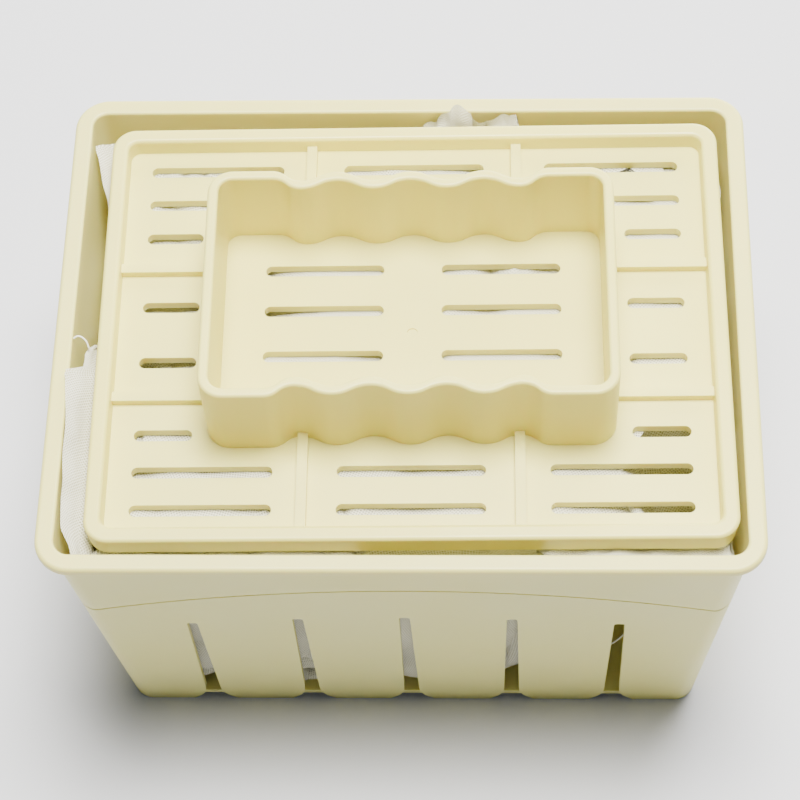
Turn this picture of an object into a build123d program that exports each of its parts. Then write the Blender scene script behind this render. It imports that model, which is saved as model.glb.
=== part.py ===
from build123d import *
import os

os.makedirs("parts", exist_ok=True)

# Tabletop cheese mould: a slotted box, a lift-out press plate and a cheesecloth.
# Millimetres, +Z up, the box's feet on z = 0, the middle of the box on x = y = 0.

# ---- mould box ----
RIM_LENGTH = 130.0
RIM_WIDTH = 102.3
RIM_CORNER = 6.5
RIM_OVERHANG = 1.8
RIM_LIP = 2.2
BOX_HEIGHT = 77.0
WALL = 1.6
WALL_DRAFT = 0.073
WALL_CORNER = 4.5
FLOOR_UNDERSIDE = 2.4
FLOOR_TOP = 4.0
FLOOR_EDGE_INSET = 0.4

# outer faces of the walls, cut by a fine groove that arches across each of them under the rim
FACE_INSET = 0.35
GROOVE_WIDTH = 0.5
GROOVE_DEPTH = 0.3
GROOVE_ARCH_RADIUS = 168.5
GROOVE_CROWN_LONG = 62.0
GROOVE_CROWN_SHORT = 58.5

# upright drain slots, open at the foot between flared corners that stop at the floor's edge
SLOT_PITCH = 20.1
SLOTS_LONG_WALL = 5
SLOTS_SHORT_WALL = 4
SLOT_WIDTH_TOP = 2.0
SLOT_WIDTH_BASE = 3.0
SLOT_CROWN = 47.7
SLOT_ARCH_RADIUS = 260.0
FLARE_TOP = 7.0
FLARE_CURVE = ((2.0, 3.6), (2.7, 2.0), (3.9, 0.6), (5.6, -0.25))

# drain slots through the box floor
DRAIN_ROWS = 5
DRAIN_ROW_PITCH = 9.0
DRAIN_COLUMNS = 3
DRAIN_COLUMN_PITCH = 34.0
DRAIN_LENGTH = 24.0
DRAIN_WIDTH = 2.4

# ---- press plate ----
PLATE_LENGTH = 116.7
PLATE_WIDTH = 89.2
PLATE_CORNER = 4.5
PLATE_TOP = 78.1
PLATE_UNDERSIDE = 72.6
PLATE_FLOOR = 74.5
PLATE_SIDE_DRAFT = 0.45
PLATE_RIM = 3.05
RECESS_CORNER = 2.0
PLATE_SHIFT_X = 1.6
PLATE_SHIFT_Y = -0.9
PLATE_TURN = 0.5
PLATE_SLOT_WIDTH = 2.25
RIB_WIDTH = 1.9
RIB_HEIGHT = 1.6
RIB_X = 19.7
RIB_Y = 13.9

# ---- grip cup, one moulding with the plate ----
CUP_LENGTH = 74.6
CUP_WIDTH = 48.0
CUP_CORNER = 4.5
CUP_WALL = 1.95
CUP_HEIGHT = 19.0
WAVE_PITCH = 13.45
WAVE_DIP = 2.2
WAVE_PEAK = 0.4
WAVE_RUN_OUT = 5.4
CUP_LIP_ROUND = 0.6
GATE_RADIUS = 1.0
GATE_DEPTH = 0.3

# ---- cheesecloth, as the open liner it forms inside the box ----
CLOTH_GAP = 0.4
CLOTH_THICKNESS = 1.0
CLOTH_TOP = 72.2


def rounded_plan(half_x, half_y, radius, z):
    return Plane.XY.offset(z) * RectangleRounded(2 * half_x, 2 * half_y, radius)


def across_y(profile, reach):
    # sweep an x-z profile through both long walls
    return extrude(Plane.XZ * profile, reach, both=True)


def across_x(profile, reach):
    # sweep a y-z profile through both short walls
    return extrude(Plane.YZ * profile, reach, both=True)


def trapezoid(half_at_rim, z_low, z_high):
    low = half_at_rim - WALL_DRAFT * (BOX_HEIGHT - z_low)
    high = half_at_rim - WALL_DRAFT * (BOX_HEIGHT - z_high)
    return make_face(Polyline((-low, z_low), (low, z_low), (high, z_high), (-high, z_high), close=True))


def wall_block(z_low, z_high, inset):
    # solid bounded by the four tapered wall faces, each taken in by the inset
    half_x = RIM_LENGTH / 2 - RIM_OVERHANG - inset
    half_y = RIM_WIDTH / 2 - RIM_OVERHANG - inset
    block = across_y(trapezoid(half_x, z_low, z_high), RIM_WIDTH)
    block &= across_x(trapezoid(half_y, z_low, z_high), RIM_LENGTH)
    corners = block.edges().filter_by(lambda e: abs(e.tangent_at(0.5).Z) > 0.5)
    return fillet(corners, WALL_CORNER - inset)


def below_arch(crown, reach):
    disc = Pos(0, crown - GROOVE_ARCH_RADIUS) * Circle(GROOVE_ARCH_RADIUS)
    window = Pos(0, crown / 2) * Rectangle(2 * reach, crown + 2)
    return disc & window


def upright_slot(offset):
    top = SLOT_CROWN - SLOT_ARCH_RADIUS + (SLOT_ARCH_RADIUS**2 - offset**2) ** 0.5
    half_low = SLOT_WIDTH_BASE / 2
    half_high = SLOT_WIDTH_TOP / 2
    edges = []
    feet = []
    for side in (-1, 1):
        points = [(offset + side * half_low, FLARE_TOP)]
        points += [(offset + side * x, z) for x, z in FLARE_CURVE]
        edges.append(Spline(*points, tangents=((0, -1), (side, 0))))
        edges.append(Line(points[0], (offset + side * half_high, top)))
        feet.append(points[-1])
    edges.append(Line((offset - half_high, top), (offset + half_high, top)))
    edges.append(Polyline(feet[0], (feet[0][0], -1), (feet[1][0], -1), feet[1]))
    outline = make_face(edges)
    return fillet(outline.vertices().group_by(Axis.Y)[-1], 0.6 * half_high)


def spaced(count, pitch):
    return [(i - (count - 1) / 2) * pitch for i in range(count)]


def obround(x_low, x_high, y, width):
    middle = (x_low + x_high) / 2
    return Pos(middle, y) * SlotOverall(x_high - x_low, width)


def box_rim():
    half_x = RIM_LENGTH / 2
    half_y = RIM_WIDTH / 2
    lip = extrude(rounded_plan(half_x, half_y, RIM_CORNER, BOX_HEIGHT - RIM_LIP), RIM_LIP)
    lip = fillet(lip.edges().group_by(Axis.Z)[-1], 0.8)
    return fillet(lip.edges().group_by(Axis.Z)[0], 0.6)


def above_arches(drop):
    # what is left of the block above the arched line, with the line lowered by the drop
    reach = RIM_LENGTH / 2
    block = wall_block(0, BOX_HEIGHT, FACE_INSET)
    block -= across_y(below_arch(GROOVE_CROWN_LONG - drop, reach), reach)
    return block - across_x(below_arch(GROOVE_CROWN_SHORT - drop, reach), reach)


def outer_walls():
    # the outer layer below and above the groove, on a core as deep as the groove
    lower = wall_block(0, BOX_HEIGHT, FACE_INSET) - above_arches(GROOVE_WIDTH)
    core = wall_block(0, BOX_HEIGHT, FACE_INSET + GROOVE_DEPTH)
    return core + lower + above_arches(0)


def wall_openings():
    reach = RIM_LENGTH
    cuts = []
    for offset in spaced(SLOTS_LONG_WALL, SLOT_PITCH):
        cuts.append(across_y(upright_slot(offset), reach))
    for offset in spaced(SLOTS_SHORT_WALL, SLOT_PITCH):
        cuts.append(across_x(upright_slot(offset), reach))
    return cuts


def floor_drains():
    cuts = []
    half = DRAIN_LENGTH / 2
    for y in spaced(DRAIN_ROWS, DRAIN_ROW_PITCH):
        for x in spaced(DRAIN_COLUMNS, DRAIN_COLUMN_PITCH):
            cuts.append(extrude(obround(x - half, x + half, y, DRAIN_WIDTH), FLOOR_TOP + 1))
    return cuts


def mould_box():
    body = outer_walls() + box_rim()
    body -= wall_block(-1, BOX_HEIGHT + 1, WALL)
    inner_lip = body.edges().filter_by_position(Axis.Z, BOX_HEIGHT - 0.01, BOX_HEIGHT + 0.01)
    inner_lip = inner_lip.filter_by(lambda e: abs(e.center().X) < RIM_LENGTH / 2 - 2)
    body = fillet(inner_lip.filter_by(lambda e: abs(e.center().Y) < RIM_WIDTH / 2 - 2), 0.5)
    body -= wall_openings()
    floor = wall_block(FLOOR_UNDERSIDE, FLOOR_TOP, FACE_INSET + FLOOR_EDGE_INSET)
    return body + floor - floor_drains()


def plate_slots():
    far = 50.8
    faces = []
    for side in (-1, 1):
        for y in (21.35, 6.0):
            faces += [obround(-far, -40.1, side * y, PLATE_SLOT_WIDTH)]
            faces += [obround(40.1, far, side * y, PLATE_SLOT_WIDTH)]
        for y in (29.0, 36.7):
            faces += [obround(-far, -25.1, side * y, PLATE_SLOT_WIDTH)]
            faces += [obround(-13.5, 13.5, side * y, PLATE_SLOT_WIDTH)]
            faces += [obround(25.1, far, side * y, PLATE_SLOT_WIDTH)]
        for y in (4.9, 13.8):
            faces += [obround(-27.8, -5.4, side * y, PLATE_SLOT_WIDTH)]
            faces += [obround(5.4, 27.8, side * y, PLATE_SLOT_WIDTH)]
    return faces


def plate_ribs():
    recess_x = PLATE_LENGTH / 2 - PLATE_RIM + 0.5
    recess_y = PLATE_WIDTH / 2 - PLATE_RIM + 0.5
    cup_x = CUP_LENGTH / 2 - CUP_WALL / 2
    cup_y = CUP_WIDTH / 2 - WAVE_DIP - CUP_WALL / 2
    z = PLATE_FLOOR + RIB_HEIGHT / 2
    ribs = []
    for side in (-1, 1):
        for x in (-RIB_X, RIB_X):
            middle = side * (recess_y + cup_y) / 2
            ribs.append(Pos(x, middle, z) * Box(RIB_WIDTH, recess_y - cup_y, RIB_HEIGHT))
        for y in (-RIB_Y, RIB_Y):
            middle = side * (recess_x + cup_x) / 2
            ribs.append(Pos(middle, y, z) * Box(recess_x - cup_x, RIB_WIDTH, RIB_HEIGHT))
    return ribs


def wavy_edge(half_y, side):
    # long side of the cup, walked from side * reach: each swing is two tangent arcs
    levels = [0.0]
    xs = [1.5 * WAVE_PITCH + WAVE_RUN_OUT]
    for step in range(3, -4, -1):
        levels.append(WAVE_DIP if step % 2 else WAVE_PEAK)
        xs.append(step * WAVE_PITCH / 2)
    levels.append(0.0)
    xs.append(-xs[0])
    edges = []
    for i in range(len(xs) - 1):
        start = (side * xs[i], side * (half_y - levels[i]))
        end = (side * xs[i + 1], side * (half_y - levels[i + 1]))
        middle = ((start[0] + end[0]) / 2, (start[1] + end[1]) / 2)
        edges.append(TangentArc(start, middle, tangent=(-side, 0)))
        edges.append(TangentArc(end, middle, tangent=(side, 0)))
    return edges


def cup_outline(inset, z):
    # walked once around, so that two outlines at different heights match edge for edge
    half_x = CUP_LENGTH / 2 - inset
    half_y = CUP_WIDTH / 2 - inset
    r = CUP_CORNER - inset
    mid = r / 2**0.5
    reach = 1.5 * WAVE_PITCH + WAVE_RUN_OUT
    edges = []
    for side in (-1, 1):
        # side -1 walks the front towards +x, side +1 walks the back towards -x
        x_run = half_x - r
        y_run = half_y - r
        edges += wavy_edge(half_y, side)
        edges.append(Line((-side * reach, side * half_y), (-side * x_run, side * half_y)))
        edges.append(
            ThreePointArc(
                (-side * x_run, side * half_y),
                (-side * (x_run + mid), side * (y_run + mid)),
                (-side * half_x, side * y_run),
            )
        )
        edges.append(Line((-side * half_x, side * y_run), (-side * half_x, -side * y_run)))
        edges.append(
            ThreePointArc(
                (-side * half_x, -side * y_run),
                (-side * (x_run + mid), -side * (y_run + mid)),
                (-side * x_run, -side * half_y),
            )
        )
        edges.append(Line((-side * x_run, -side * half_y), (-side * reach, -side * half_y)))
    return Plane.XY.offset(z) * Face(Wire(edges))


def grip_cup():
    height = CUP_HEIGHT + 0.5
    low = PLATE_FLOOR - 0.5
    cup = extrude(cup_outline(0, low), height) - extrude(cup_outline(CUP_WALL, low), height)
    return fillet(cup.edges().group_by(Axis.Z)[-1], CUP_LIP_ROUND)


def plate_tray():
    half_x = PLATE_LENGTH / 2
    half_y = PLATE_WIDTH / 2
    foot = rounded_plan(
        half_x - PLATE_SIDE_DRAFT, half_y - PLATE_SIDE_DRAFT, PLATE_CORNER - PLATE_SIDE_DRAFT, PLATE_UNDERSIDE
    )
    tray = loft([foot, rounded_plan(half_x, half_y, PLATE_CORNER, PLATE_TOP)], ruled=True)
    inner_x = half_x - PLATE_RIM
    inner_y = half_y - PLATE_RIM
    recess_low = rounded_plan(inner_x - 0.25, inner_y - 0.25, RECESS_CORNER, PLATE_FLOOR)
    recess_high = rounded_plan(inner_x, inner_y, RECESS_CORNER, PLATE_TOP)
    tray -= loft([recess_low, recess_high], ruled=True)
    tray = fillet(tray.edges().group_by(Axis.Z)[-1], 0.7)
    return fillet(tray.edges().group_by(Axis.Z)[0], 0.5)


def press_plate():
    plate = plate_tray() + grip_cup()
    plate += plate_ribs()
    depth = PLATE_FLOOR - PLATE_UNDERSIDE + 2
    plate -= [extrude(Plane.XY.offset(PLATE_UNDERSIDE - 1) * face, depth) for face in plate_slots()]
    plate -= Pos(0, 0, PLATE_FLOOR) * Cylinder(GATE_RADIUS, 2 * GATE_DEPTH)
    return Location((PLATE_SHIFT_X, PLATE_SHIFT_Y, 0), (0, 0, PLATE_TURN)) * plate


def cheesecloth():
    outer = wall_block(FLOOR_TOP + CLOTH_GAP, CLOTH_TOP, WALL + CLOTH_GAP)
    inner_low = FLOOR_TOP + CLOTH_GAP + CLOTH_THICKNESS
    return outer - wall_block(inner_low, CLOTH_TOP + 1, WALL + CLOTH_GAP + CLOTH_THICKNESS)


export_step(mould_box(), "parts/mould_box.step")
export_step(press_plate(), "parts/press_plate.step")
export_step(cheesecloth(), "parts/cheesecloth.step")
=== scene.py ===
import math

import bpy
import numpy as np
from mathutils import Matrix, Vector

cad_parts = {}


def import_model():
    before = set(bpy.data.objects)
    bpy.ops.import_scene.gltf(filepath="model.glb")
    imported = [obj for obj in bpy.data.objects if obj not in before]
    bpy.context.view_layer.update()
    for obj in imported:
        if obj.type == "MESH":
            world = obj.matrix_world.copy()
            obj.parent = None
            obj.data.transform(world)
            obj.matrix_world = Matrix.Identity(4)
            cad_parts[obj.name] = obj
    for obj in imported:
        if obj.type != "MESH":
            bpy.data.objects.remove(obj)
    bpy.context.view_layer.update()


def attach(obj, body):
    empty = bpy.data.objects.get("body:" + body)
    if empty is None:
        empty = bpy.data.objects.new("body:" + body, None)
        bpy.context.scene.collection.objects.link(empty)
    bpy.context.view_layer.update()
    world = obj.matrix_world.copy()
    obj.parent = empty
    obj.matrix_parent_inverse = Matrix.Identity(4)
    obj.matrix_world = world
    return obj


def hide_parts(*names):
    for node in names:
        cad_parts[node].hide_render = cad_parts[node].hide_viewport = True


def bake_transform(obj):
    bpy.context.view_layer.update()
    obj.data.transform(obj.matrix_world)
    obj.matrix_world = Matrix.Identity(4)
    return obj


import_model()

MM = 0.001


# ---------------------------------------------------------------- node helpers
def new_material(name):
    mat = bpy.data.materials.new(name)
    mat.use_nodes = True
    tree = mat.node_tree
    tree.nodes.clear()
    out = tree.nodes.new("ShaderNodeOutputMaterial")
    shader = tree.nodes.new("ShaderNodeBsdfPrincipled")
    tree.links.new(shader.outputs[0], out.inputs["Surface"])
    return mat, tree, shader


def object_coords(tree):
    return tree.nodes.new("ShaderNodeTexCoord").outputs["Object"]


def noise(tree, coords, scale, detail=3.0, roughness=0.5):
    n = tree.nodes.new("ShaderNodeTexNoise")
    n.inputs["Scale"].default_value = scale
    n.inputs["Detail"].default_value = detail
    n.inputs["Roughness"].default_value = roughness
    tree.links.new(coords, n.inputs["Vector"])
    return n.outputs["Fac"]


def ramp(tree, value, low, high, out_low=0.0, out_high=1.0):
    n = tree.nodes.new("ShaderNodeMapRange")
    n.inputs["From Min"].default_value = low
    n.inputs["From Max"].default_value = high
    n.inputs["To Min"].default_value = out_low
    n.inputs["To Max"].default_value = out_high
    tree.links.new(value, n.inputs["Value"])
    return n.outputs["Result"]


def mix_colour(tree, factor, a, b):
    n = tree.nodes.new("ShaderNodeMix")
    n.data_type = "RGBA"
    tree.links.new(factor, n.inputs["Factor"])
    for socket, value in ((n.inputs["A"], a), (n.inputs["B"], b)):
        if isinstance(value, tuple):
            socket.default_value = (*value, 1.0)
        else:
            tree.links.new(value, socket)
    return n.outputs["Result"]


def maths(tree, op, a, b=0.0, c=0.0):
    n = tree.nodes.new("ShaderNodeMath")
    n.operation = op
    for socket, value in zip(n.inputs, (a, b, c)):
        if isinstance(value, (int, float)):
            socket.default_value = value
        else:
            tree.links.new(value, socket)
    return n.outputs[0]


def bump(tree, height, strength, distance, normal=None):
    n = tree.nodes.new("ShaderNodeBump")
    n.inputs["Strength"].default_value = strength
    n.inputs["Distance"].default_value = distance
    tree.links.new(height, n.inputs["Height"])
    if normal is not None:
        tree.links.new(normal, n.inputs["Normal"])
    return n.outputs["Normal"]


# ---------------------------------------------------------------- materials
BOX_CREAM = (0.75, 0.70, 0.25)
BOX_WARM = (0.77, 0.71, 0.235)
BOX_ROUGHNESS = 0.40
PLATE_CREAM = (0.77, 0.71, 0.22)
PLATE_WARM = (0.79, 0.72, 0.205)
PLATE_ROUGHNESS = 0.38
POLYPROPYLENE_IOR = 1.49
GLOW_SHARE = 0.35
GLOW_DEPTH = 0.0025
GLOW_COLOUR = (1.0, 0.75, 0.3)
# painted shade for the gaps between the threads, then the threads' own colour on their crowns
GAUZE_PAINTED_GAP_SHADE = (0.40, 0.38, 0.29)
GAUZE_CROWN = (0.84, 0.825, 0.70)
COTTON_DARK = (0.80, 0.77, 0.64)
COTTON_LIGHT = (0.95, 0.94, 0.86)
FLOOR_GREY = (0.66, 0.665, 0.74)
# threads along the sheet's side, which sets the weave's pitch
THREADS = 790.0


def moulded_plastic(name, base, warm, roughness):
    """satin moulded plastic with a soft depth: uneven tone, finish and surface"""
    mat, tree, shader = new_material(name)
    coords = object_coords(tree)
    tone = ramp(tree, noise(tree, coords, 28.0, 4.0), 0.35, 0.7)
    tree.links.new(mix_colour(tree, tone, base, warm), shader.inputs["Base Color"])
    wear = noise(tree, coords, 60.0, 5.0, 0.6)
    finish = ramp(tree, wear, 0.3, 0.75, roughness - 0.06, roughness + 0.08)
    tree.links.new(finish, shader.inputs["Roughness"])
    # slow sink marks of the moulding, then the fine grain on top
    normal = bump(tree, noise(tree, coords, 38.0, 1.0), 0.35, 0.0008)
    normal = bump(tree, noise(tree, coords, 900.0, 2.0), 0.15, 0.00005, normal)
    tree.links.new(normal, shader.inputs["Normal"])
    shader.inputs["Subsurface Weight"].default_value = GLOW_SHARE
    shader.inputs["Subsurface Radius"].default_value = GLOW_COLOUR
    shader.inputs["Subsurface Scale"].default_value = GLOW_DEPTH
    shader.inputs["IOR"].default_value = POLYPROPYLENE_IOR
    return mat


def gauze():
    """open plain weave: two sets of threads, one over and one under at every crossing"""
    mat, tree, shader = new_material("cotton_gauze")
    uv = tree.nodes.new("ShaderNodeUVMap").outputs["UV"]
    split = tree.nodes.new("ShaderNodeSeparateXYZ")
    tree.links.new(uv, split.inputs[0])
    across = maths(tree, "MULTIPLY", split.outputs["X"], THREADS)
    along = maths(tree, "MULTIPLY", split.outputs["Y"], THREADS)
    # 1 on a thread's crown, 0 half way to the next
    crown_a = maths(tree, "MULTIPLY", maths(tree, "PINGPONG", across, 0.5), 2.0)
    crown_b = maths(tree, "MULTIPLY", maths(tree, "PINGPONG", along, 0.5), 2.0)
    top = maths(tree, "MAXIMUM", crown_a, crown_b)
    uneven = noise(tree, uv, 160.0, 2.0)
    # the gaps between threads are see-through, and not all equally wide
    cover = ramp(tree, maths(tree, "MULTIPLY_ADD", uneven, 0.25, top), 0.38, 0.5)
    tree.links.new(cover, shader.inputs["Alpha"])
    # painted shade: the colour darkens from each thread's crown into the gaps between threads, standing in
    # for their shade
    shade = ramp(tree, top, 0.35, 0.9)
    tree.links.new(mix_colour(tree, shade, GAUZE_PAINTED_GAP_SHADE, GAUZE_CROWN), shader.inputs["Base Color"])
    # the crossing pattern lifts one set, then the other
    wave_a = maths(tree, "COSINE", maths(tree, "MULTIPLY", across, math.pi))
    wave_b = maths(tree, "COSINE", maths(tree, "MULTIPLY", along, math.pi))
    weave = maths(tree, "MULTIPLY", wave_a, wave_b)
    height = maths(tree, "MULTIPLY_ADD", weave, 0.3, top)
    normal = bump(tree, height, 0.6, 0.00012)
    normal = bump(tree, noise(tree, uv, 90.0, 4.0), 0.5, 0.0006, normal)
    tree.links.new(normal, shader.inputs["Normal"])
    fuzz = noise(tree, uv, 300.0, 2.0)
    tree.links.new(ramp(tree, fuzz, 0.3, 0.7, 0.88, 1.0), shader.inputs["Roughness"])
    shader.inputs["Sheen Weight"].default_value = 0.1
    shader.inputs["Specular IOR Level"].default_value = 0.2
    return mat


def cotton_thread():
    """a single loose thread, with the grain of its strands"""
    mat, tree, shader = new_material("cotton_thread")
    coords = object_coords(tree)
    strands = noise(tree, coords, 4000.0, 2.0)
    colour = mix_colour(tree, strands, COTTON_DARK, COTTON_LIGHT)
    tree.links.new(colour, shader.inputs["Base Color"])
    tree.links.new(bump(tree, strands, 0.6, 0.0001), shader.inputs["Normal"])
    tree.links.new(ramp(tree, strands, 0.3, 0.7, 0.85, 1.0), shader.inputs["Roughness"])
    return mat


def floor_paper():
    mat, tree, shader = new_material("stage_floor")
    shader.inputs["Base Color"].default_value = (*FLOOR_GREY, 1.0)
    shader.inputs["Roughness"].default_value = 0.9
    shader.inputs["Specular IOR Level"].default_value = 0.1
    return mat


# ---------------------------------------------------------------- frame pieces
def dress(node, mat):
    obj = bpy.data.objects[node]
    obj.data.materials.clear()
    obj.data.materials.append(mat)


dress("mould_box", moulded_plastic("cream_box", BOX_CREAM, BOX_WARM, BOX_ROUGHNESS))
dress("press_plate", moulded_plastic("cream_plate", PLATE_CREAM, PLATE_WARM, PLATE_ROUGHNESS))


# ---------------------------------------------------------------- cheesecloth shape
# One square sheet, solved as a grid of points in millimetres: the centre is crumpled inside
# the box, and pinned stretches of its edge lie where the gaps around the plate show them.
# A pin is the place of one grid point, named by its row (along X) and column (along Y).
SHEET = 360.0
GRID = 145
LAST = GRID - 1
CELL = SHEET / LAST
# the box's inner faces at the rim, how much they close in per millimetre down, and the
# distance the cloth keeps from them
RIM_Z = 77.0
INNER_X = 61.6
INNER_Y = 47.75
WALL_DRAFT = 0.073
CLOTH_CLEAR = 0.9
# the floor of the box and the underside of the plate, each with the cloth's own clearance
CLOTH_FLOOR = 5.0
CLOTH_CEILING = 72.3
# from this height up, over the height of the turn, the cloth keeps under the plate and
# clear of the open gaps around it
UNDER_PLATE_Z = 61.0
UNDER_PLATE_TURN = 3.0
PLATE_MIDDLE = (1.6, -0.9)
PLATE_REACH = (57.4, 43.7)
# parts of the box that stay empty, as low and high corners: behind the last front slot, and
# under the plate's middle left and front right slots
FAR = 200.0
EMPTY_BOXES = (
    ((28.0, -FAR, -FAR), (FAR, -25.0, 62.0)),
    ((-FAR, -13.0, 70.9), (-33.0, 22.0, FAR)),
    ((43.0, -38.5, 68.0), (FAR, -20.0, FAR)),
)
# how the sheet starts: its half width and half depth, its middle height, the limits of its
# first folds, the height of its edge, and the random shake of every point
START_HALF = (54.0, 41.0)
START_Z = 42.0
START_LOW_Z = 8
START_HIGH_Z = 70
START_EDGE_Z = 67.0
START_SHAKE = 0.35
# the first folds: waves across the sheet, and their height
START_FOLDS = ((5, 26.0), (11, 9.0), (22, 3.5))
# the start places of the sheet's corners, and how many cells inwards they still shift it
CORNER_LOW_X = -58.0
CORNER_HIGH_X = 58.0
CORNER_LOW_Y = -46.0
CORNER_HIGH_Y = 45.5
EDGE_BAND = 34
# stiffness of the weave along its threads, against shear and against folding
THREAD_STIFFNESS = 0.95
SHEAR_STIFFNESS = 0.3
BEND_STIFFNESS = 0.12
# how far apart different layers keep, the share of an overlap mended in one go, the most a
# point moves in one go, and the most neighbours looked at in one cell
LAYER_GAP = 2.5
LAYER_PUSH = 0.3
LAYER_MOST = 1.0
LAYER_NEIGHBOURS = 10
# the threads start at this share of their length and grow over this share of the steps
START_LENGTH = 0.35
GROWING = 0.45
SOLVE_STEPS = 150
SOLVE_PASSES = 8
SHAPE_SEED = 7
CREASE_SEED = 11


def ease(t):
    """0 to 1 with soft ends"""
    t = np.clip(t, 0.0, 1.0)
    return t * t * (3.0 - 2.0 * t)


def ripple(k, *pairs):
    """a sum of waves along the pins, each given as its rate and size"""
    return sum(size * np.sin(rate * k + 0.7 * rate) for rate, size in pairs)


def tongue_pins():
    """left gap: the edge climbs the wall and laps the rim"""
    pins = {}
    start, count = 7, 18
    front_y, length = -47.2, 44.2
    lap_end_y = -10.2
    for k in range(count + 1):
        y = front_y + length * k / count
        t = k / count
        if y < lap_end_y:
            edge_x = -60.75 - 0.3 * ease(t / 0.5) - 0.65 * ease((t - 0.5) / 0.28)
            edge = np.array([edge_x, y, 75.6 + 2.5 * ease(t / 0.7)])
        else:
            edge = np.array([-59.5, y, 74.6])
        tuck = np.array([-56.9, y, 72.3])
        ends = 0.25 + 0.75 * ease(min(k + 0.4, 1.6 * (count - k) + 0.8) / 3)
        edge = tuck + (edge - tuck) * ends
        sway = ends * ripple(k, (1.9, 0.28), (0.7, 0.3))
        pins[(0, start + k)] = edge
        pins[(1, start + k)] = 0.62 * edge + 0.38 * tuck + np.array([0.3 * sway, 0, 0.7 * ends + sway])
        pins[(2, start + k)] = 0.26 * edge + 0.74 * tuck + np.array([0, 0, 0.2 * ends + 0.7 * sway])
        pins[(3, start + k)] = np.array([-55.4, 0.99 * y, 71.6])
    return pins


def corner_flap_pins():
    """back left corner: a flat triangle beside the plate"""
    pins = {}
    start, count = 98, 6
    for k in range(count + 1):
        t = k / count
        y = 26.5 + 15.0 * t
        edge = np.array([-57.3 - 3.8 * t, y, 74.2 + 0.5 * t])
        tuck = np.array([-56.6, y, 72.6])
        pins[(0, start + k)] = edge
        pins[(1, start + k)] = 0.5 * edge + 0.5 * tuck + np.array([0, 0, 0.25])
        pins[(2, start + k)] = 0.12 * edge + 0.88 * tuck
        pins[(3, start + k)] = np.array([-55.2, y, 71.7])
    # the flap's far end drops back under the plate
    pins[(0, start + count + 1)] = np.array([-58.9, 42.6, 73.4])
    pins[(0, start + count + 2)] = np.array([-56.8, 43.3, 72.4])
    return pins


def bunch_pins():
    """back gap: a gathered bunch that peaks over the rim"""
    pins = {}
    # height of the gathered edge at each pin
    tops = [74.4, 75.1, 75.9, 77.0, 78.2, 79.3, 79.5, 78.4, 77.5, 76.9, 76.7, 76.9, 77.2, 77.3, 77.4, 76.6]
    start = 78
    left_x, width = 3.2, 17.8
    for k, top in enumerate(tops):
        x = left_x + width * k / (len(tops) - 1)
        fold = 0.6 * np.sin(2.6 * k)
        lean = 1.2 * ease((top - 77.0) / 2.0)
        pins[(start + k, LAST)] = np.array([x, 46.2 + 0.8 * fold + lean, top])
        pins[(start + k, LAST - 1)] = np.array([x, 45.8 + fold, top - 1.9])
        pins[(start + k, LAST - 2)] = np.array([x, 45.1 + 0.8 * fold, 73.6 + 0.25 * (top - 74.6)])
        pins[(start + k, LAST - 3)] = np.array([x, 43.4, 71.8])
    # both ends drop back under the plate
    pins[(start - 1, LAST)] = np.array([1.6, 44.9, 73.0])
    pins[(start + len(tops), LAST)] = np.array([21.9, 45.2, 74.2])
    pins[(start + len(tops) + 1, LAST)] = np.array([22.6, 43.4, 72.2])
    return pins


def front_pins(start, count, low_x, high_x):
    """front gap: a level strip that comes out from under the plate"""
    pins = {}
    for k in range(count + 1):
        x = low_x + (high_x - low_x) * k / count
        sway = ripple(k, (2.3, 0.2))
        pins[(start + k, 0)] = np.array([x, -47.15, 72.9 + sway])
        pins[(start + k, 1)] = np.array([x, -45.5, 72.4 + sway])
        pins[(start + k, 2)] = np.array([x, -43.4, 71.9])
        pins[(start + k, 3)] = np.array([x, -41.0, 71.5])
    return pins


def side_pins():
    """right gap: one small fold near the back"""
    pins = {}
    start, count = 108, 5
    for k in range(count):
        y = 28.0 + 2.1 * k
        out = np.sin(math.pi * (k + 0.6) / (count + 0.2))
        pins[(LAST, start + k)] = np.array([58.8 + 0.8 * out, y, 73.0 + 0.8 * out])
        pins[(LAST - 1, start + k)] = np.array([58.6, y, 72.4])
        pins[(LAST - 2, start + k)] = np.array([56.6, y, 71.8])
    return pins


def edge_track(pins, side, axis, low, high):
    """where the sheet's edge starts out, passing through its pinned stretches"""
    spots = sorted((spot[axis], place[axis]) for spot, place in pins.items() if spot[1 - axis] == side)
    at = [0] + [spot for spot, _ in spots] + [LAST]
    return np.interp(np.arange(GRID), at, [low] + [place for _, place in spots] + [high])


def lattice_noise(rng, waves, count=GRID):
    """smooth random heights over the sheet, with this many waves across it"""
    knots = rng.standard_normal((waves + 1, waves + 1))
    along = np.linspace(0, waves, count)
    cell = np.floor(along).clip(0, waves - 1).astype(int)
    t = ease(along - cell)
    rows = knots[cell] * (1 - t[:, None]) + knots[cell + 1] * t[:, None]
    return rows[:, cell] * (1 - t) + rows[:, cell + 1] * t


def sheet_axes():
    """-1 to 1 along both sides of the sheet, for every grid point"""
    across = np.linspace(-1, 1, GRID)
    return np.meshgrid(across, across, indexing="ij")


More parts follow.
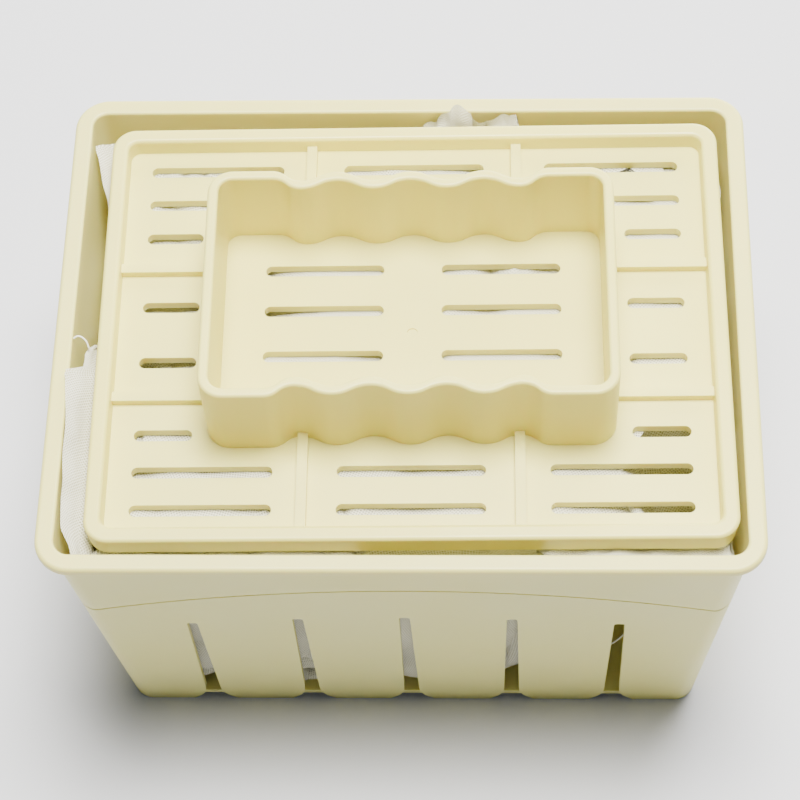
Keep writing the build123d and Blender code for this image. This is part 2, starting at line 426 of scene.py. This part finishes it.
def start_shape(pins, rng):
    """the sheet gathered into the box, its edges already near their pins"""
    a, b = sheet_axes()
    points = np.stack([START_HALF[0] * a, START_HALF[1] * b, np.full_like(a, START_Z)], -1)
    near = 1 - ease(np.arange(GRID) / EDGE_BAND)
    left = edge_track(pins, 0, 1, CORNER_LOW_Y, CORNER_HIGH_Y)
    right = edge_track(pins, LAST, 1, CORNER_LOW_Y, CORNER_HIGH_Y)
    front = edge_track(pins, 0, 0, CORNER_LOW_X, CORNER_HIGH_X)
    back = edge_track(pins, LAST, 0, CORNER_LOW_X, CORNER_HIGH_X)
    points[..., 1] += (left[None, :] - points[..., 1]) * near[:, None]
    points[..., 1] += (right[None, :] - points[..., 1]) * near[::-1, None]
    points[..., 0] += (front[:, None] - points[..., 0]) * near[None, :]
    points[..., 0] += (back[:, None] - points[..., 0]) * near[None, ::-1]
    for waves, size in START_FOLDS:
        points[..., 2] += size * lattice_noise(rng, waves)
    points[..., 2] = np.clip(points[..., 2], START_LOW_Z, START_HIGH_Z)
    rim = ease((np.maximum(np.abs(a), np.abs(b)) - 0.86) / 0.14)
    points[..., 2] += (START_EDGE_Z - points[..., 2]) * rim
    return points + START_SHAKE * rng.standard_normal(points.shape)


def contain(points):
    """keep the points inside the box, under the plate and out of the empty parts"""
    z = points[..., 2]
    np.clip(z, CLOTH_FLOOR, CLOTH_CEILING, out=z)
    tuck = ease((z - UNDER_PLATE_Z) / UNDER_PLATE_TURN)
    for axis, inner in ((0, INNER_X), (1, INNER_Y)):
        reach = inner - WALL_DRAFT * (RIM_Z - z) - CLOTH_CLEAR
        low = (1 - tuck) * -reach + tuck * (PLATE_MIDDLE[axis] - PLATE_REACH[axis])
        high = (1 - tuck) * reach + tuck * (PLATE_MIDDLE[axis] + PLATE_REACH[axis])
        points[..., axis] = np.clip(points[..., axis], low, high)
    # a point inside an empty part moves towards its nearest face: 0 to 2 are the low faces
    for low, high in EMPTY_BOXES:
        depths = np.concatenate([points - low, high - points], -1)
        nearest = depths.min(-1)
        face = depths.argmin(-1)
        step = np.where(nearest > 0, 0.5 * np.minimum(nearest, 4.0), 0.0)
        for k in range(6):
            points[..., k % 3] += np.where(face == k, step if k > 2 else -step, 0.0)


def pull(points, free, first, second, rest, stiffness, push_only):
    """move two sets of points towards their rest distance, or only apart"""
    start, end = points[first], points[second]
    gap = end - start
    length = np.sqrt((gap * gap).sum(-1, keepdims=True)) + 1e-9
    error = (length - rest) / length
    if push_only:
        error = np.minimum(error, 0)
    w1, w2 = free[first][..., None], free[second][..., None]
    gap *= error * stiffness / np.maximum(w1 + w2, 1)
    start += w1 * gap
    end -= w2 * gap


def threads():
    """grid neighbours joined by the weave: along, across and both diagonals, in independent sets"""
    every = slice(None)
    low, high = slice(0, LAST), slice(1, GRID)
    sets = []
    for o in (0, 1):
        first, second = slice(o, LAST, 2), slice(o + 1, GRID, 2)
        sets.append(((first, every), (second, every), 1.0, THREAD_STIFFNESS))
        sets.append(((every, first), (every, second), 1.0, THREAD_STIFFNESS))
        sets.append(((first, low), (second, high), 2**0.5, SHEAR_STIFFNESS))
        sets.append(((first, high), (second, low), 2**0.5, SHEAR_STIFFNESS))
    return sets


def bend(points, free, stiffness):
    """keep points two and four cells apart from closing up, so that folds stay round"""
    every = slice(None)
    for span, share in ((2, 1.0), (4, 0.5)):
        for o in range(2 * span):
            count = len(range(o, GRID - span, 2 * span))
            reach = (count - 1) * 2 * span + 1
            first = slice(o, o + reach, 2 * span)
            second = slice(o + span, o + span + reach, 2 * span)
            rest = 0.97 * span * CELL
            pull(points, free, (first, every), (second, every), rest, share * stiffness, True)
            pull(points, free, (every, first), (every, second), rest, share * stiffness, True)


def keep_layers_apart(points, free):
    """push apart points of different layers that come closer than the layer gap"""
    flat = points.reshape(-1, 3)
    count = len(flat)
    cell = np.floor(flat / LAYER_GAP).astype(np.int64)
    cell -= cell.min(0) - 1
    span = cell.max(0) + 2
    key = (cell[:, 0] * span[1] + cell[:, 1]) * span[2] + cell[:, 2]
    order = np.argsort(key, kind="stable")
    ranked = key[order]
    move = np.zeros_like(flat)
    row, column = np.divmod(np.arange(count), GRID)
    around = [(x, y, z) for x in (-1, 0, 1) for y in (-1, 0, 1) for z in (-1, 0, 1) if (x, y, z) >= (0, 0, 0)]
    for x, y, z in around:
        wanted = key + (x * span[1] + y) * span[2] + z
        low = np.searchsorted(ranked, wanted, "left")
        high = np.searchsorted(ranked, wanted, "right")
        for m in range(min(int((high - low).max()), LAYER_NEIGHBOURS)):
            one = np.nonzero(low + m < high)[0]
            other = order[low[one] + m]
            apart = np.maximum(np.abs(row[one] - row[other]), np.abs(column[one] - column[other])) > 1
            if (x, y, z) == (0, 0, 0):
                apart &= other > one
            one, other = one[apart], other[apart]
            gap = flat[other] - flat[one]
            length = np.sqrt((gap * gap).sum(1)) + 1e-6
            hit = length < LAYER_GAP
            one, other = one[hit], other[hit]
            push = gap[hit] * (LAYER_PUSH * (LAYER_GAP - length[hit]) / length[hit])[:, None]
            for axis in range(3):
                share = push[:, axis]
                move[:, axis] += np.bincount(other, share, count) - np.bincount(one, share, count)
    size = np.linalg.norm(move, axis=1, keepdims=True)
    move *= np.minimum(1, LAYER_MOST / (size + 1e-9))
    points += move.reshape(points.shape) * free[..., None]


def steady_push(rng):
    """what spreads the folds: most of the sheet up to the plate, a front strip to the front wall"""
    a, b = sheet_axes()
    strip = ease((b + 0.95) / 0.06) * (1 - ease((b + 0.54) / 0.1)) * (1 - ease((a - 0.52) / 0.1))
    spread = ease((b + 0.40) / 0.15) * (1 - ease((b - 0.05) / 0.2))
    lift = np.maximum(0.16 + 0.22 * lattice_noise(rng, 6), 0.07) + 0.08 * spread
    push_x = 0.10 * lattice_noise(rng, 7) + 0.06 * a
    sway_y = (1 - strip) * 0.10 * lattice_noise(rng, 7)
    forward = strip * (0.2 + 0.16 * lattice_noise(rng, 11))
    push_y = sway_y - forward - 0.12 * spread
    push_z = (1 - strip) * lift + strip * (-0.17 + 0.12 * lattice_noise(rng, 9))
    return np.stack([push_x, push_y, push_z], -1)


def crumpled_sheet():
    """grow the gathered sheet to its real size inside the box and let it settle"""
    rng = np.random.default_rng(SHAPE_SEED)
    pins = {**tongue_pins(), **corner_flap_pins(), **bunch_pins(), **side_pins()}
    pins.update(front_pins(105, 14, 26.7, 59.2))
    pins.update(front_pins(9, 17, -53.0, -8.5))
    points = start_shape(pins, rng)
    free = np.ones((GRID, GRID))
    for spot, place in pins.items():
        points[spot] = place
        free[spot] = 0.0
    held = free == 0
    places = points[held].copy()
    sets = threads()
    drift = steady_push(rng)
    speed = np.zeros_like(points)
    for step in range(SOLVE_STEPS):
        before = points.copy()
        grown = ease((step + 1) / (GROWING * SOLVE_STEPS))
        calm = 1 - ease((step / SOLVE_STEPS - 0.75) / 0.2)
        points += (speed + drift * calm) * free[..., None]
        rest = CELL * (START_LENGTH + (1 - START_LENGTH) * grown)
        for _ in range(SOLVE_PASSES):
            for first, second, reach, stiffness in sets:
                pull(points, free, first, second, rest * reach, stiffness, False)
            bend(points, free, BEND_STIFFNESS * grown)
            contain(points)
            points[held] = places
        if step % 2 == 0:
            keep_layers_apart(points, free)
            contain(points)
            points[held] = places
        # most of the speed is kept while the sheet is pushed, and less as it settles
        speed = (0.4 + 0.4 * calm) * (points - before)
    return points


def crease(points):
    """small wrinkles across the whole sheet, along its own surface normals"""
    rng = np.random.default_rng(CREASE_SEED)
    normals = np.cross(np.gradient(points, axis=0), np.gradient(points, axis=1))
    normals /= np.linalg.norm(normals, axis=-1, keepdims=True) + 1e-9
    count = len(points)
    height = 0.42 * lattice_noise(rng, 46, count) + 0.2 * lattice_noise(rng, 90, count)
    creased = points + height[..., None] * normals
    under = points[..., 2] <= CLOTH_CEILING + 0.05
    creased[..., 2] = np.where(under, np.minimum(creased[..., 2], CLOTH_CEILING + 0.2), creased[..., 2])
    return creased


# ---------------------------------------------------------------- cheesecloth pieces
THREAD_RADIUS = 0.17
THREAD_SIDES = 8
# the turn of the weave against the sheet's edges: its cosine and sine
WEAVE_TURN = (0.83, 0.56)


def refined(points, axis):
    """one more point between every two, on a smooth curve through them"""
    rows = np.moveaxis(points, axis, 0)
    padded = np.concatenate([2 * rows[:1] - rows[1:2], rows, 2 * rows[-1:] - rows[-2:-1]])
    middle = (9 * (padded[1:-2] + padded[2:-1]) - padded[:-3] - padded[3:]) / 16
    out = np.empty((2 * len(rows) - 1, *rows.shape[1:]))
    out[::2] = rows
    out[1::2] = middle
    return np.moveaxis(out, 0, axis)


def mesh_object(name, points, faces, mat):
    """a smooth-shaded mesh from points in metres"""
    mesh = bpy.data.meshes.new(name)
    mesh.from_pydata([tuple(p) for p in points], [], faces)
    mesh.materials.append(mat)
    mesh.polygons.foreach_set("use_smooth", [True] * len(mesh.polygons))
    obj = bpy.data.objects.new(name, mesh)
    bpy.context.scene.collection.objects.link(obj)
    return obj


def cloth_sheet(points):
    """the solved sheet at twice the grid, creased, with the weave laid along it"""
    points = crease(refined(refined(points, 0), 1))
    rows, columns = points.shape[:2]
    index = np.arange(rows * columns).reshape(rows, columns)
    faces = np.stack([index[:-1, :-1], index[1:, :-1], index[1:, 1:], index[:-1, 1:]], -1).reshape(-1, 4)
    obj = mesh_object("gauze_sheet", points.reshape(-1, 3) * MM, faces.tolist(), gauze())
    u, v = np.meshgrid(np.linspace(0, 1, rows), np.linspace(0, 1, columns), indexing="ij")
    along, across = WEAVE_TURN
    turned = np.stack([along * u + across * v, along * v - across * u], -1)
    uv = turned.reshape(-1, 2)[faces.reshape(-1)]
    obj.data.uv_layers.new(name="weave").data.foreach_set("uv", uv.reshape(-1))
    return obj


def thread(name, path, mat):
    """a round thread along a smooth curve through the path, in millimetres"""
    path = np.array(path, float)
    for _ in range(3):
        path = refined(path, 0)
    ahead = np.gradient(path, axis=0)
    ahead /= np.linalg.norm(ahead, axis=1, keepdims=True)
    side = np.cross(ahead, (0.3, 0.2, 0.93))
    side /= np.linalg.norm(side, axis=1, keepdims=True)
    up = np.cross(side, ahead)
    turn = np.linspace(0, 2 * math.pi, THREAD_SIDES, endpoint=False)
    ring = np.cos(turn)[None, :, None] * side[:, None] + np.sin(turn)[None, :, None] * up[:, None]
    points = (path[:, None] + THREAD_RADIUS * ring).reshape(-1, 3)
    faces = []
    for i in range(len(path) - 1):
        low = THREAD_SIDES * i
        high = low + THREAD_SIDES
        for k in range(THREAD_SIDES):
            n = (k + 1) % THREAD_SIDES
            faces.append((low + k, low + n, high + n, high + k))
    start_cap = range(THREAD_SIDES)
    end_cap = range(len(points) - THREAD_SIDES, len(points))
    faces.append(tuple(reversed(start_cap)))
    faces.append(tuple(end_cap))
    return mesh_object(name, points * MM, faces, mat)


cloth = cloth_sheet(crumpled_sheet())
cotton = cotton_thread()
loose_left = thread(
    "loose_thread_left",
    [(-61.4, -3.3, 76.7), (-60.7, -2.9, 76.9), (-59.8, -3.1, 76.8), (-59.0, -3.7, 76.2), (-58.6, -4.6, 75.4)],
    cotton,
)
loose_front = thread(
    "loose_thread_front",
    [(36.5, -42.0, 22.0), (38.3, -43.0, 26.0), (40.3, -43.2, 29.2), (42.6, -42.3, 33.0), (44.0, -41.0, 39.0)],
    cotton,
)
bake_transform(cloth)
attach(loose_left, "press")
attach(loose_front, "cloth")
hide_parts("cheesecloth")


# ---------------------------------------------------------------- stage, light, camera
FLOOR_REACH = 3.0
WORLD_COLOUR = (0.80, 0.90, 1.0)
WORLD_STRENGTH = 0.13
# fitted to the photo's view: angles in degrees, place in metres, lens and sensor in millimetres
CAMERA_ELEVATION = 60.69
CAMERA_AZIMUTH = -4.83
CAMERA_ROLL = -4.29
CAMERA_PLACE = (0.01815, -0.23532, 0.46792)
CAMERA_LENS = 110.67
CAMERA_SENSOR = 36.0


def stage_floor():
    reach = FLOOR_REACH
    corners = [(-reach, -reach, 0), (reach, -reach, 0), (reach, reach, 0), (-reach, reach, 0)]
    mesh_object("stage_floor", corners, [(0, 1, 2, 3)], floor_paper())


def softbox(name, place, aim, width, height, power, colour):
    """a rectangular light at a place, turned to the point it aims at"""
    data = bpy.data.lights.new(name, "AREA")
    data.shape = "RECTANGLE"
    data.size = width
    data.size_y = height
    data.energy = power
    data.color = colour
    obj = bpy.data.objects.new(name, data)
    bpy.context.scene.collection.objects.link(obj)
    obj.location = place
    obj.rotation_euler = (Vector(aim) - Vector(place)).to_track_quat("-Z", "Y").to_euler()


def camera():
    elevation = math.radians(CAMERA_ELEVATION)
    azimuth = math.radians(CAMERA_AZIMUTH)
    roll = math.radians(CAMERA_ROLL)
    ahead = Vector(
        (
            math.sin(azimuth) * math.cos(elevation),
            math.cos(azimuth) * math.cos(elevation),
            -math.sin(elevation),
        )
    )
    level = Vector((math.cos(azimuth), -math.sin(azimuth), 0.0))
    upright = level.cross(ahead)
    right = math.cos(roll) * level + math.sin(roll) * upright
    up = -math.sin(roll) * level + math.cos(roll) * upright
    data = bpy.data.cameras.new("camera")
    data.sensor_width = CAMERA_SENSOR
    data.lens = CAMERA_LENS
    data.clip_start = 0.01
    data.clip_end = 20.0
    obj = bpy.data.objects.new("camera", data)
    turn = Matrix((right, up, -ahead)).transposed().to_4x4()
    obj.matrix_world = Matrix.Translation(CAMERA_PLACE) @ turn
    bpy.context.scene.collection.objects.link(obj)
    bpy.context.scene.camera = obj


def world():
    w = bpy.data.worlds.new("studio")
    w.use_nodes = True
    back = w.node_tree.nodes["Background"]
    back.inputs["Color"].default_value = (*WORLD_COLOUR, 1.0)
    back.inputs["Strength"].default_value = WORLD_STRENGTH
    bpy.context.scene.world = w


stage_floor()
world()
softbox("overhead", (0.06, 0.08, 0.95), (0, 0, 0.05), 0.4, 0.35, 34.5, (1.0, 0.985, 0.88))
softbox("behind", (0.25, 0.75, 0.35), (0, 0, 0.04), 0.6, 0.4, 12.5, (1.0, 0.99, 0.95))
camera()
